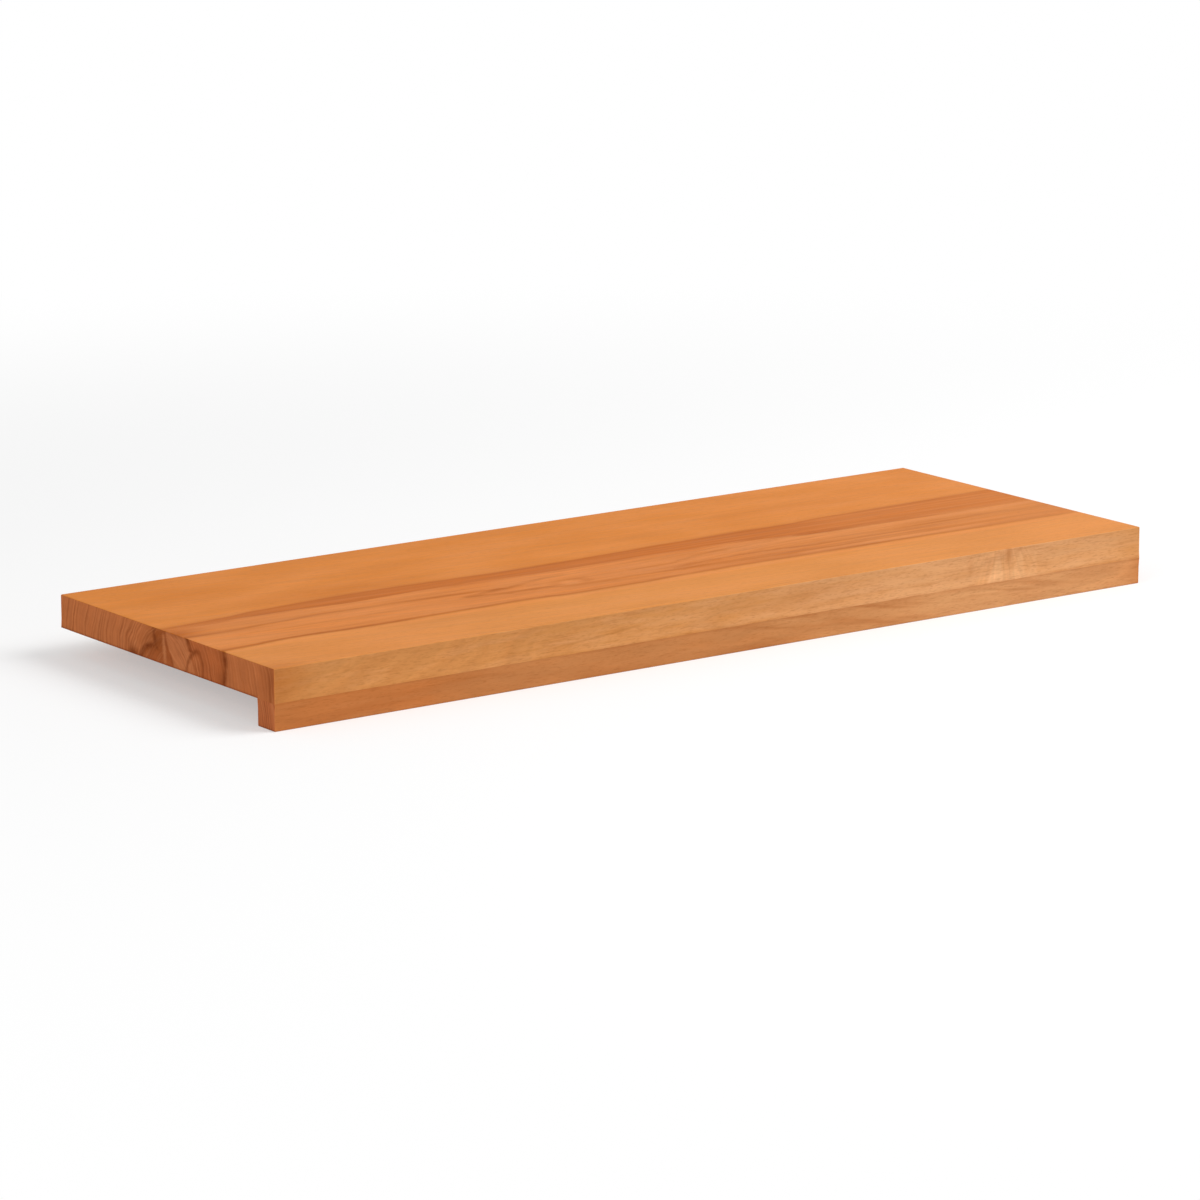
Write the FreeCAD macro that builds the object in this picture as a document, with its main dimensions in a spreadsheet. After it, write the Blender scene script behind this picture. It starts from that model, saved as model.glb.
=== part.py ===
"""Stair tread of solid wood: a plank with a nosing strip glued under its front edge.

Frame, in millimetres: +X runs along the step, -Y faces the person who climbs, +Z is up.
The origin is the middle of the tread's outline, level with the underside of the nosing.
"""

import FreeCAD, Part
import os

import Sketcher

# Driving dimensions: alias, value in millimetres, what it measures.
SIZES = (
    ("tread_length", 800.0, "end to end, along the step"),
    ("tread_depth", 290.0, "back edge to front face"),
    ("plank_thickness", 25.0, "planed thickness of the plank"),
    ("nosing_drop", 20.0, "how far the nosing hangs below the plank"),
    ("nosing_thickness", 22.0, "front face to back face of the nosing"),
    ("arris_radius", 1.0, "sanded round on every edge that is not level with the glue joint"),
)
SHEET = "sizes"
PARTS_FOLDER = "parts"
SAME_PLANE = 1e-6


def make_sheet(doc):
    """Keeps the driving dimensions in a spreadsheet, one aliased cell each."""
    sheet = doc.addObject("Spreadsheet::Sheet", SHEET)
    for row, (alias, value, meaning) in enumerate(SIZES, start=1):
        sheet.set(f"A{row}", alias)
        sheet.set(f"B{row}", str(value))
        sheet.set(f"C{row}", meaning)
        sheet.setAlias(f"B{row}", alias)
    doc.recompute()
    return sheet


def bind_distance(sketch, label, constraint, size):
    """Adds a dimension to the sketch and ties it to a cell of the sheet."""
    index = sketch.addConstraint(constraint)
    sketch.renameConstraint(index, label)
    sketch.setExpression(f"Constraints.{label}", f"{SHEET}.{size}")


def section_sketch(body, name, breadth, height, glue_land=None):
    """Draws a piece's cross-section: a rectangle that stands on the sketch's horizontal
    axis, centred on the vertical one, its sides bound to the named sizes. Where a glue land
    is named, the bottom side is drawn in two stretches, so that the land along the front and
    the seat behind it are faces of their own."""
    sketch = body.newObject("Sketcher::SketchObject", name)
    planes = {feature.Role: feature for feature in body.Origin.OriginFeatures}
    sketch.AttachmentSupport = [(planes["YZ_Plane"], "")]
    sketch.MapMode = "FlatFace"

    bottom = [(-1, 0), (0, 0), (1, 0)] if glue_land else [(-1, 0), (1, 0)]
    points = [FreeCAD.Vector(*point) for point in bottom + [(1, 1), (-1, 1)]]
    sides = list(zip(points, points[1:] + points[:1]))
    for start, end in sides:
        sketch.addGeometry(Part.LineSegment(start, end))

    first, last = 1, 2
    origin = (-1, 1)
    front_corner = (0, first)
    back_corner = (len(bottom) - 2, last)
    back_side = len(bottom) - 1
    for side, (start, end) in enumerate(sides):
        following = (side + 1) % len(sides)
        direction = "Horizontal" if start.y == end.y else "Vertical"
        sketch.addConstraint(Sketcher.Constraint("Coincident", side, last, following, first))
        sketch.addConstraint(Sketcher.Constraint(direction, side))
    sketch.addConstraint(Sketcher.Constraint("Symmetric", *front_corner, *back_corner, *origin))

    width = Sketcher.Constraint("DistanceX", *front_corner, *back_corner, 2.0)
    bind_distance(sketch, "breadth", width, breadth)
    rise = Sketcher.Constraint("DistanceY", back_side, first, back_side, last, 1.0)
    bind_distance(sketch, "height", rise, height)
    if glue_land:
        land = Sketcher.Constraint("DistanceX", *front_corner, 0, last, 1.0)
        bind_distance(sketch, "glue_land", land, glue_land)
    return sketch


def saw_to_length(body, sketch):
    """Carries the cross-section along the step, half the length to each side."""
    pad = body.newObject("PartDesign::Pad", f"{body.Name}_stock")
    pad.Profile = sketch
    pad.SideType = "Symmetric"
    pad.Refine = False
    pad.setExpression("Length", f"{SHEET}.tread_length")
    body.Document.recompute()
    return pad


def ease_edges(body, stock, glue_height):
    """Rounds every edge of the stock except those level with the glue joint, which stay
    square so that it closes flush. glue_height is that level in the body's own frame."""
    loose = [
        f"Edge{number}"
        for number, edge in enumerate(stock.Shape.Edges, start=1)
        if any(abs(vertex.Z - glue_height) > SAME_PLANE for vertex in edge.Vertexes)
    ]
    fillet = body.newObject("PartDesign::Fillet", f"{body.Name}_arris")
    fillet.Base = (stock, loose)
    fillet.Refine = False
    fillet.setExpression("Radius", f"{SHEET}.arris_radius")
    return fillet


def make_plank(doc):
    """The tread itself: one wide plank, whose underside takes the nosing along the front and
    seats on the step behind it."""
    body = doc.addObject("PartDesign::Body", "tread_plank")
    sketch = section_sketch(
        body, "plank_section", "tread_depth", "plank_thickness", "nosing_thickness"
    )
    stock = saw_to_length(body, sketch)
    ease_edges(body, stock, glue_height=0.0)
    body.setExpression("Placement.Base.z", f"{SHEET}.nosing_drop")
    return body


def make_nosing(doc, sheet):
    """The lip that hooks over the step: a strip glued on flush with the plank's front face."""
    body = doc.addObject("PartDesign::Body", "nosing_strip")
    sketch = section_sketch(body, "nosing_section", "nosing_thickness", "nosing_drop")
    stock = saw_to_length(body, sketch)
    ease_edges(body, stock, glue_height=float(sheet.nosing_drop))
    body.setExpression(
        "Placement.Base.y", f"({SHEET}.nosing_thickness - {SHEET}.tread_depth) / 2"
    )
    return body


def check(doc, bodies):
    """Stops if an object failed to recompute or a piece is not one sound solid."""
    for item in doc.Objects:
        if {"Invalid", "Error"} & set(item.State):
            raise RuntimeError(f"{item.Label} did not recompute: {item.State}")
    for body in bodies:
        shape = body.Shape
        if shape.isNull() or not shape.isValid() or len(shape.Solids) != 1:
            raise RuntimeError(f"{body.Label} is not one valid solid")


def main():
    doc = FreeCAD.newDocument("stair_tread")
    sheet = make_sheet(doc)
    bodies = [make_plank(doc), make_nosing(doc, sheet)]
    doc.recompute()
    check(doc, bodies)

    os.makedirs(PARTS_FOLDER, exist_ok=True)
    for body in bodies:
        body.Shape.exportStep(os.path.join(PARTS_FOLDER, f"{body.Label}.step"))
        box = body.Shape.BoundBox
        print(
            f"{body.Label}: {box.XLength:.2f} x {box.YLength:.2f} x {box.ZLength:.2f} mm,"
            f" volume {body.Shape.Volume / 1000:.1f} cm3, z from {box.ZMin:.2f} to {box.ZMax:.2f}"
        )


main()
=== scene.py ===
"""Dresses the stair tread: a plank and a nosing strip of oiled, red-hearted beech on a pale floor.

Meshes, lights and the camera are in metres, in the part's own frame. The wood's figure is in
millimetres, read as a joiner reads a board: x from the left end along the step, u from the back
edge towards the front, v down from the top face. The figure is a field in all three, so that the
top, the front, the ends and the underside show the same piece of wood.
"""

import logging
import math
from dataclasses import dataclass, field
from enum import Enum
from typing import Optional, Union

import bpy
import numpy as np
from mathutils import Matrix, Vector


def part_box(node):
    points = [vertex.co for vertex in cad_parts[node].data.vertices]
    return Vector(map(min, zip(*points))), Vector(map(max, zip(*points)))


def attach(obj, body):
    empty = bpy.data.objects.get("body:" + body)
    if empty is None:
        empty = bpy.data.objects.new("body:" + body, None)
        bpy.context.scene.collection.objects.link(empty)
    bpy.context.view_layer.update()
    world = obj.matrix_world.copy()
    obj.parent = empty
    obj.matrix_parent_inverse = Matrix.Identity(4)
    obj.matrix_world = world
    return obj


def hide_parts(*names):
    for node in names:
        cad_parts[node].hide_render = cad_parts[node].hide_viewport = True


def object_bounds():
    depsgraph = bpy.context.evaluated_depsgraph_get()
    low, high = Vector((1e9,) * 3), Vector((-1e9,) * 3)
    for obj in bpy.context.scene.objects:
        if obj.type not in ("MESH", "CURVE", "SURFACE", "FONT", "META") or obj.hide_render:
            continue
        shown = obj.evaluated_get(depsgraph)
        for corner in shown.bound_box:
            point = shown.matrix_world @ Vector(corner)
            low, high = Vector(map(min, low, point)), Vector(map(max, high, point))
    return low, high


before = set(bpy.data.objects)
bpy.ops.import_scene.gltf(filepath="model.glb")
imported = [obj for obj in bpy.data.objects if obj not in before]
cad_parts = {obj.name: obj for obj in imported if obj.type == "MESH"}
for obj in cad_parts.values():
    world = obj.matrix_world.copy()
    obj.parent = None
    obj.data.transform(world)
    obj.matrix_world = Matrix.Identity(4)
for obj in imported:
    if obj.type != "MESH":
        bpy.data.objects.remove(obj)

CAD_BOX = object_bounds()
BODY = "root"
PLANK, NOSING = "tread_plank", "nosing_strip"
MM = 0.001

Span = tuple[float, float]
Points = tuple[Span, ...]
Triple = tuple[float, float, float]
Number = Union[float, "Signal"]
Colour = Union[Triple, "Paint"]

log = logging.getLogger("stair_tread")


def srgb(red: int, green: int, blue: int) -> Triple:
    """Turns a colour as a screen shows it into the linear values that shaders use.

    Args:
        red, green, blue: The colour, from 0 to 255.

    Returns:
        The same colour, linear, from 0 to 1.
    """
    shown = np.array((red, green, blue)) / 255
    low, high = shown / 12.92, ((shown + 0.055) / 1.055) ** 2.4
    return tuple(float(value) for value in np.where(shown <= 0.04045, low, high))


class Signal:
    """A number worked out at each point of a surface. Arithmetic on signals adds Math nodes."""

    def __init__(self, bench: "Bench", socket: bpy.types.NodeSocket) -> None:
        """Wraps a node's output socket."""
        self.bench = bench
        self.socket = socket

    def __add__(self, other: Number) -> "Signal":
        """The sum."""
        return self.bench.math("ADD", self, other)

    __radd__ = __add__

    def __sub__(self, other: Number) -> "Signal":
        """The difference."""
        return self.bench.math("SUBTRACT", self, other)

    def __rsub__(self, other: Number) -> "Signal":
        """The difference, with the signal taken away."""
        return self.bench.math("SUBTRACT", other, self)

    def __mul__(self, other: Number) -> "Signal":
        """The product."""
        return self.bench.math("MULTIPLY", self, other)

    __rmul__ = __mul__

    def __truediv__(self, other: Number) -> "Signal":
        """The quotient."""
        return self.bench.math("DIVIDE", self, other)

    def __abs__(self) -> "Signal":
        """The size, without its sign."""
        return self.bench.math("ABSOLUTE", self)

    def rise(self, low: Number, high: Number) -> "Signal":
        """Goes smoothly from 0 to 1.

        Args:
            low: Where it is 0.
            high: Where it is 1. It falls where this is the smaller.

        Returns:
            A number from 0 to 1.
        """
        node = self.bench.add("MapRange", interpolation_type="SMOOTHSTEP")
        for name, value in (("Value", self), ("From Min", low), ("From Max", high)):
            self.bench.feed(node.inputs[name], value)
        return Signal(self.bench, node.outputs["Result"])

    def ridge(self, width: Number) -> "Signal":
        """Is 1 where the signal is 0, and falls smoothly to 0 within the width on both sides."""
        return abs(self).rise(width, 0.0)

    def along(self, points: Points) -> "Signal":
        """Reads a smooth curve through a few points, each an input and the value there.

        Args:
            points: The curve's points, by rising input. Past its ends the curve stays level.

        Returns:
            The curve's value at this signal.
        """
        inputs, values = (np.array(column, float) for column in zip(*points))
        lowest, spread = values.min(), max(float(np.ptp(values)), 1e-6)
        share = (self - float(inputs[0])) / float(np.ptp(inputs))
        node = self.bench.add("FloatCurve")
        knots = node.mapping.curves[0].points
        for _ in range(len(points) - len(knots)):
            knots.new(0.5, 0.5)
        places = (inputs - inputs[0]) / np.ptp(inputs)
        for knot, place, value in zip(knots, places, (values - lowest) / spread):
            knot.location = (float(place), float(value))
        node.mapping.extend = "HORIZONTAL"
        node.mapping.update()
        self.bench.feed(node.inputs["Value"], share)
        return Signal(self.bench, node.outputs["Value"]) * spread + float(lowest)


class Paint:
    """A colour worked out at each point of a surface."""

    def __init__(self, bench: "Bench", socket: bpy.types.NodeSocket) -> None:
        """Wraps a node's output socket."""
        self.bench = bench
        self.socket = socket

    def toward(self, other: Colour, share: Number) -> "Paint":
        """Mixes in a share of another colour, from 0 for none to 1 for that colour alone."""
        return self.bench.mix(share, self, other)

    def shaded(self, factor: Number) -> "Paint":
        """Makes the colour lighter or darker.

        Args:
            factor: What the colour is multiplied by.

        Returns:
            The new colour.
        """
        node = self.bench.add("VectorMath", operation="SCALE")
        self.bench.feed(node.inputs["Vector"], self)
        self.bench.feed(node.inputs["Scale"], factor)
        return Paint(self.bench, node.outputs["Vector"])


class Bench:
    """Puts the nodes of one material together.

    Attributes:
        material: The material.
        tree: Its nodes.
    """

    # The values that noise mostly lies between, and how far a seed of 1 moves it along each axis.
    noise_span: Span = (0.28, 0.72)
    seed_step: Triple = (1.0, 2.7, 5.3)

    def __init__(self, name: str) -> None:
        """Starts a material with no nodes.

        Args:
            name: The material's name.
        """
        self.material = bpy.data.materials.new(name)
        self.material.use_nodes = True
        self.tree = self.material.node_tree
        self.tree.nodes.clear()

    def add(self, kind: str, **settings: object) -> bpy.types.Node:
        """Adds a shader node.

        Args:
            kind: The node's type, without the words that every shader node's type starts with.
            settings: Its options, by name.

        Returns:
            The node.
        """
        node = self.tree.nodes.new(f"ShaderNode{kind}")
        for name, value in settings.items():
            setattr(node, name, value)
        return node

    def feed(self, socket: bpy.types.NodeSocket, value: object) -> None:
        """Links something to an input, or sets the input's own value.

        Args:
            socket: The input.
            value: A signal, a paint or a socket to link, or else a plain number or colour.
        """
        if isinstance(value, (Signal, Paint)):
            value = value.socket
        if isinstance(value, bpy.types.NodeSocket):
            self.tree.links.new(value, socket)
        elif socket.type == "RGBA":
            socket.default_value = (*value, 1.0)
        else:
            socket.default_value = value

    def math(self, operation: str, *values: Number) -> Signal:
        """Adds a Math node.

        Args:
            operation: What it works out.
            values: The numbers or signals that it takes.

        Returns:
            The result.
        """
        node = self.add("Math", operation=operation)
        for socket, value in zip(node.inputs, values):
            self.feed(socket, value)
        return Signal(self, node.outputs["Value"])

    def mix(self, share: Number, first: Colour, second: Colour) -> Paint:
        """Mixes two colours.

        Args:
            share: 0 for the first alone, 1 for the second alone.
            first, second: The colours.

        Returns:
            The mixed colour.
        """
        node = self.add("Mix", data_type="RGBA")
        sockets = [socket for socket in node.inputs if socket.enabled]
        for socket, value in zip(sockets, (share, first, second)):
            self.feed(socket, value)
        return Paint(self, next(socket for socket in node.outputs if socket.enabled))

    def mapped(
        self, vector: bpy.types.NodeSocket, origin: Triple, scale: Triple
    ) -> bpy.types.NodeSocket:
        """Scales a vector and then moves it.

        Args:
            vector: The vector.
            origin: How far it is moved along each axis.
            scale: What it is multiplied by along each axis.

        Returns:
            The new vector.
        """
        node = self.add("Mapping")
        self.feed(node.inputs["Vector"], vector)
        node.inputs["Location"].default_value = origin
        node.inputs["Scale"].default_value = scale
        return node.outputs["Vector"]

    def split(self, vector: bpy.types.NodeSocket) -> tuple[Signal, Signal, Signal]:
        """Takes a vector apart.

        Args:
            vector: The vector.

        Returns:
            Its three numbers.
        """
        node = self.add("SeparateXYZ")
        self.feed(node.inputs["Vector"], vector)
        return tuple(Signal(self, socket) for socket in node.outputs)

    def joined(self, *values: Number) -> bpy.types.NodeSocket:
        """Makes a vector.

        Args:
            values: Three numbers or signals.

        Returns:
            The vector.
        """
        node = self.add("CombineXYZ")
        for socket, value in zip(node.inputs, values):
            self.feed(socket, value)
        return node.outputs["Vector"]

    def cloud(
        self, vector: bpy.types.NodeSocket, size: Triple, octaves: float, seed: float
    ) -> Signal:
        """Smooth random mottling, mostly between -1 and 1.

        Args:
            vector: Where the mottling is read.
            size: The size of a blotch along each axis, in the vector's units.
            octaves: How many finer layers it has.
            seed: Moves to another stretch of the same mottling.

        Returns:
            The mottling's value.
        """
        noise = self.add("TexNoise")
        noise.inputs["Scale"].default_value = 1.0
        noise.inputs["Detail"].default_value = octaves
        shift = tuple(step * seed for step in self.seed_step)
        spread = self.mapped(vector, shift, tuple(1 / length for length in size))
        self.feed(noise.inputs["Vector"], spread)
        span = self.add("MapRange", clamp=False)
        self.feed(span.inputs["Value"], noise.outputs[0])
        low, high = self.noise_span
        for name, value in (("From Min", low), ("From Max", high), ("To Min", -1.0)):
            span.inputs[name].default_value = value
        return Signal(self, span.outputs["Result"])

    def seeds(self, vector: bpy.types.NodeSocket, size: Triple) -> Signal:
        """Distance to the nearest of many strewn points, in shares of their usual spacing.

        Args:
            vector: Where the distance is read.
            size: The usual spacing along each axis, in the vector's units.

        Returns:
            The distance.
        """
        cells = self.add("TexVoronoi")
        cells.inputs["Scale"].default_value = 1.0
        spread = self.mapped(vector, (0.0, 0.0, 0.0), tuple(1 / length for length in size))
        self.feed(cells.inputs["Vector"], spread)
        return Signal(self, cells.outputs["Distance"])

    def finish(
        self, colour: Paint, roughness: Number, height: Signal, gloss: float, depth: float
    ) -> bpy.types.Material:
        """Closes the material with a shader.

        Args:
            colour: The surface's colour.
            roughness: Its roughness.
            height: Its fine relief, from about -1 to 1.
            gloss: The share of the usual mirror reflection that the surface has.
            depth: How far in metres one unit of the relief stands out.

        Returns:
            The finished material.
        """
        bump = self.add("Bump")
        bump.inputs["Strength"].default_value = 1.0
        bump.inputs["Distance"].default_value = depth
        self.feed(bump.inputs["Height"], height)
        shader = self.add("BsdfPrincipled")
        shader.inputs["Specular IOR Level"].default_value = gloss
        self.feed(shader.inputs["Base Color"], colour)
        self.feed(shader.inputs["Roughness"], roughness)
        self.feed(shader.inputs["Normal"], bump.outputs["Normal"])
        output = self.add("OutputMaterial")
        self.feed(output.inputs["Surface"], shader.outputs["BSDF"])
        return self.material


class Stock:
    """Where a point lies in its board: x, u and v in millimetres, and which faces are near.

    Attributes:
        bench: Where the nodes are put together.
        point: x, u and v as a vector.
        x, u, v: The same three as signals.
        on_end: 1 on both sawn ends, 0 elsewhere.
        on_side: 1 on the front and back faces.
        on_front: 1 on the front face.
        on_corner: 1 on the four upright edges, which are painted paler: partly wear, partly a
        painted highlight.
        over_land: 1 in the strip along the front where the boards are glued together.
        at_joint: How plainly the glue line between the boards shows.
    """

    # How deep under a face a point starts to count as on it, and where it counts in full, for the
    # upright edges, the ends and the sides. The glued strip starts to count a little behind itself.
    eased: Span = (1.2, 0.24)
    end_skin: Span = (0.45, 0.05)
    side_skin: Span = (0.6, 0.1)
    land_blend: float = 1.0
    # The glue line: its half width, x and its strength there, its patches and its share on ends.
    seam: float = 2.4
    seam_strength: Points = ((0, 0.15), (200, 0.08), (400, 0.22), (540, 0.1), (640, 0.12), (800, 0.4))
    patch_size: Triple = (17, 40, 40)
    patchiness: float = 0.7
    seam_on_end: float = 0.4

    def __init__(self, bench: Bench, node: str) -> None:
        """Reads the point's own coordinates and measures them against the board's box.

        Args:
            bench: Where the nodes are put together.
            node: The part's node that the board stands for.
        """
        origin = np.array((-CAD_BOX[0].x, CAD_BOX[1].y, CAD_BOX[1].z)) / MM
        turn = np.array((1.0, -1.0, -1.0)) / MM
        first, second = (origin + turn * np.array(corner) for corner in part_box(node))
        low, high = np.minimum(first, second), np.maximum(first, second)
        joint = float(origin[2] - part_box(PLANK)[0].z / MM)
        land = float(origin[1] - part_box(NOSING)[1].y / MM)

        self.bench = bench
        place = bench.add("TexCoord").outputs["Object"]
        self.point = bench.mapped(place, tuple(origin), tuple(turn))
        self.x, self.u, self.v = bench.split(self.point)
        inset = [
            float(b - a) / 2 - abs(axis - float(a + b) / 2)
            for axis, a, b in zip((self.x, self.u, self.v), low, high)
        ]
        self.on_corner = inset[0].rise(*self.eased) * inset[1].rise(*self.eased)
        self.on_end = inset[0].rise(*self.end_skin)
        self.on_side = inset[1].rise(*self.side_skin)
        self.on_front = self.on_side * self.u.rise(land, float(high[1]))
        self.over_land = self.u.rise(land - self.land_blend, land)
        seam = (self.v - joint).ridge(self.seam) * self.x.along(self.seam_strength)
        patchy = bench.cloud(self.point, self.patch_size, 2, seed=15) * self.patchiness + 1.0
        shown = self.on_front + self.on_end * self.over_land * self.seam_on_end
        self.at_joint = seam * patchy * shown

    def reach(self, centre: Triple, radii: Triple, across: Optional[Signal] = None) -> Signal:
        """Distance from a centre in shares of an egg's radii: 1 on the egg's shell.

        Args:
            centre: x, u and v of the egg's middle.
            radii: Its half lengths along x, u and v.
            across: What is read in place of u, for an egg that leans or stays open.

        Returns:
            The distance.
        """
        point = self.point if across is None else self.bench.joined(self.x, across, self.v)
        shift = tuple(-middle / radius for middle, radius in zip(centre, radii))
        scaled = self.bench.mapped(point, shift, tuple(1 / radius for radius in radii))
        node = self.bench.add("VectorMath", operation="LENGTH")
        self.bench.feed(node.inputs[0], scaled)
        return Signal(self.bench, node.outputs["Value"])


@dataclass(frozen=True)
class Growth:
    """How a tree grew round a board.

    Attributes:
        across: x and the pith's u there.
        deep: x and the pith's v there.
        ring_width: The usual width of a year's ring 100 mm from the pith.
        wander: How far a ring strays from round.
        seed: Picks this tree's own unevenness.
    """

    across: Points
    deep: Points
    ring_width: float
    wander: float
    seed: float


class Grain:
    """What a tree's growth leaves in a board, as signals.

    Attributes:
        radius: Distance from the pith, a little uneven.
        early: Paleness within each year's ring, at its inner edge.
        late: Darkness within each year's ring: it grows slowly and ends sharply at the next.
        streak: Broad lighter and darker streaks along the grain, about -1 to 1.
        fibre: Fine fibres along the grain, about -1 to 1.
        fleck: 1 where one of beech's broad rays is cut: a short dash on a face along the rings,
            a flake on a face across them.
        dash: Soft dark dashes along the grain, of pores and rays together.
        weave: Fine uneven lines along the rings, as a saw leaves them on an end, about -1 to 1.
        pore: 1 where a vessel is cut open: a hair-thin dark dash along the grain.
    """

    # Sizes of the marks in millimetres, each along the three signals that the mark is read in.
    stray_size: Triple = (150, 24, 24)
    pace_size: Triple = (10, 900, 1)
    drawn_size: Triple = (7, 170, 60)
    streak_size: Triple = (150, 5.5, 80)
    fibre_size: Triple = (70, 1.3, 30)
    ray_size: Triple = (5.5, 11.0, 1.3)
    dash_size: Triple = (24, 14, 2.0)
    weave_size: Triple = (40, 2.2, 45)
    pore_size: Triple = (7, 0.7, 0.7)
    # Rings: the power that they widen by, the radius where they have their usual width, how far a
    # year's pace shifts them, and where in the year the pale and the dark wood come and go.
    widening: float = 0.7
    ring_base: float = 100.0
    pace_reach: float = 2.0
    early_comes: Span = (0.0, 0.15)
    early_goes: Span = (0.6, 0.2)
    late_comes: Span = (0.2, 0.85)
    late_goes: Span = (1.0, 0.85)
    # From which to which radius rings and saw lines grow clear, and the radius arcs are measured at.
    ring_clear: Span = (10, 48)
    weave_clear: Span = (10, 35)
    ray_radius: float = 110.0
    # The value of its mottling or distance where each mark starts to show, and where it is full.
    drawn_span: Span = (-0.8, 0.8)
    ray_span: Span = (0.45, 0.2)
    dash_span: Span = (0.0, 1.0)
    pore_span: Span = (0.35, 1.2)

    def __init__(self, stock: Stock, growth: Growth) -> None:
        """Works the signals out in polar coordinates about the pith.

        Rings widen outwards: their number goes with a power of the radius.

        Args:
            stock: The board's coordinates.
            growth: How the tree grew.
        """
        bench, x, u, seed = stock.bench, stock.x, stock.u, growth.seed
        across = u - x.along(growth.across)
        deep = stock.v - x.along(growth.deep)
        round_ring = bench.math("SQRT", across * across + deep * deep)
        stray = bench.cloud(stock.point, self.stray_size, 3, seed)
        self.radius = round_ring + stray * growth.wander

        pace = bench.cloud(bench.joined(self.radius, x, 0.0), self.pace_size, 2, seed + 1)
        evened = (self.radius + pace * self.pace_reach) / self.ring_base
        outward = bench.math("POWER", evened, self.widening)
        year = bench.math("FRACT", outward * (self.ring_base / (self.widening * growth.ring_width)))
        drawn = bench.cloud(bench.joined(self.radius, x, u), self.drawn_size, 2, seed + 2)
        clear = drawn.rise(*self.drawn_span) * self.radius.rise(*self.ring_clear)
        self.early = year.rise(*self.early_comes) * year.rise(*self.early_goes) * clear
        self.late = year.rise(*self.late_comes) * year.rise(*self.late_goes) * clear

        lengthwise = bench.joined(x, self.radius, u)
        self.streak = bench.cloud(lengthwise, self.streak_size, 3, seed + 3)
        self.fibre = bench.cloud(lengthwise, self.fibre_size, 2, seed + 4)

        arc = bench.math("ARCTAN2", deep, across) * self.ray_radius
        crosswise = bench.joined(x, self.radius, arc)
        self.fleck = bench.seeds(crosswise, self.ray_size).rise(*self.ray_span)
        self.dash = bench.cloud(stock.point, self.dash_size, 2, seed + 5).rise(*self.dash_span)
        sawn = bench.cloud(crosswise, self.weave_size, 3, seed + 6)
        self.weave = sawn * self.radius.rise(*self.weave_clear)
        self.pore = bench.cloud(stock.point, self.pore_size, 1, seed + 7).rise(*self.pore_span)


@dataclass(frozen=True)
class FigureLine:
    """A line of the figure, drawn along the board and down through it.

    Attributes:
        along: x and the line's u on the top face.
        strength: x and how much of the line's colour shows there.
        width: How far from its middle the line fades out.
        lean: v and how far u has moved by that depth.
        lasting: v and how much of the line is left at that depth.
        soak: How much wider the line is on a sawn end.
        halo: How strong the wide stain beside the line is, as a share of the line.
        halo_spread: How many times wider than the line that stain is.
    """

    along: Points
    strength: Points
    width: float = 4.0
    lean: Points = ((0, 0), (25, -6))
    lasting: Points = ((0, 1), (25, 0.9))
    soak: float = 0.0
    halo: float = 0.2
    halo_spread: float = 3.0

    def ahead(self, stock: Stock, sway: Signal) -> Signal:
        """How far a point lies in front of the line, which sways a little."""
        return stock.u - stock.x.along(self.along) - stock.v.along(self.lean) + sway

    def share(self, stock: Stock, sway: Signal) -> Signal:
        """How much of the line's colour shows at a point.

        Args:
            stock: The board's coordinates.
            sway: How far the line sways from its drawn course.

        Returns:
            The share.
        """
        ahead = self.ahead(stock, sway)
        line = ahead.ridge(self.width + stock.on_end * self.soak)
        stained = line + ahead.ridge(self.halo_spread * self.width) * self.halo
        return stained * stock.x.along(self.strength) * stock.v.along(self.lasting)


@dataclass(frozen=True)
class Stain:
    """A soft, egg-shaped patch in the wood.

    Attributes:
        centre: x, u and v of its middle.
        radii: Its half lengths.
        strength: How much of its colour shows in the middle.
    """

    centre: Triple
    radii: Triple
    strength: float

    def share(self, stock: Stock) -> Signal:
        """How much of the patch's colour shows at a point."""
        return stock.reach(self.centre, self.radii).rise(1.0, 0.0) * self.strength


@dataclass(frozen=True)
class Flake:
    """A pale wedge on the front face, where a cluster of rays breaks out. It widens downwards.

    Attributes:
        place: x of its middle, at middle depth.
        spread: How fast it widens, to each side.
        strength: How much of its colour shows.
        middle: v of that depth.
        lean: How far it leans to the left, for each millimetre down.
        edge: How far outside its side it starts to show, and how far inside it shows in full.
        fade: v where it starts to show, and where it shows in full.
    """

    place: float
    spread: float
    strength: float
    middle: float = 12.0
    lean: float = 0.15
    edge: Span = (1.2, -2.0)
    fade: Span = (0, 10)

    def share(self, stock: Stock) -> Signal:
        """How much of the flake's colour shows at a point.

        Args:
            stock: The board's coordinates.

        Returns:
            The share.
        """
        aside = abs(stock.x - self.place + (stock.v - self.middle) * self.lean)
        wedge = (aside - stock.v * self.spread).rise(*self.edge)
        return wedge * stock.v.rise(*self.fade) * stock.on_front * self.strength


@dataclass(frozen=True)
class Streaks:
    """Two colours that follow a mottling: one on its crests, the other in its hollows.

    Attributes:
        crest: Colour where the mottling is high.
        crest_share: How much of it shows at most.
        hollow: Colour where the mottling is low.
        hollow_share: How much of it shows at most.
        crest_span: Where the crests' colour starts to show, and where it shows in full.
        hollow_span: The same for the hollows' colour.
    """

    crest: Triple
    crest_share: float
    hollow: Triple
    hollow_share: float
    crest_span: Span = (0.0, 1.2)
    hollow_span: Span = (0.0, -1.2)

    def over(self, wood: Paint, mottling: Signal, where: Number = 1.0) -> Paint:
        """Streaks the wood along a mottling: in full where a share is 1, not at all where it is 0."""
        wood = wood.toward(self.crest, mottling.rise(*self.crest_span) * where * self.crest_share)
        return wood.toward(self.hollow, mottling.rise(*self.hollow_span) * where * self.hollow_share)


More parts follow.
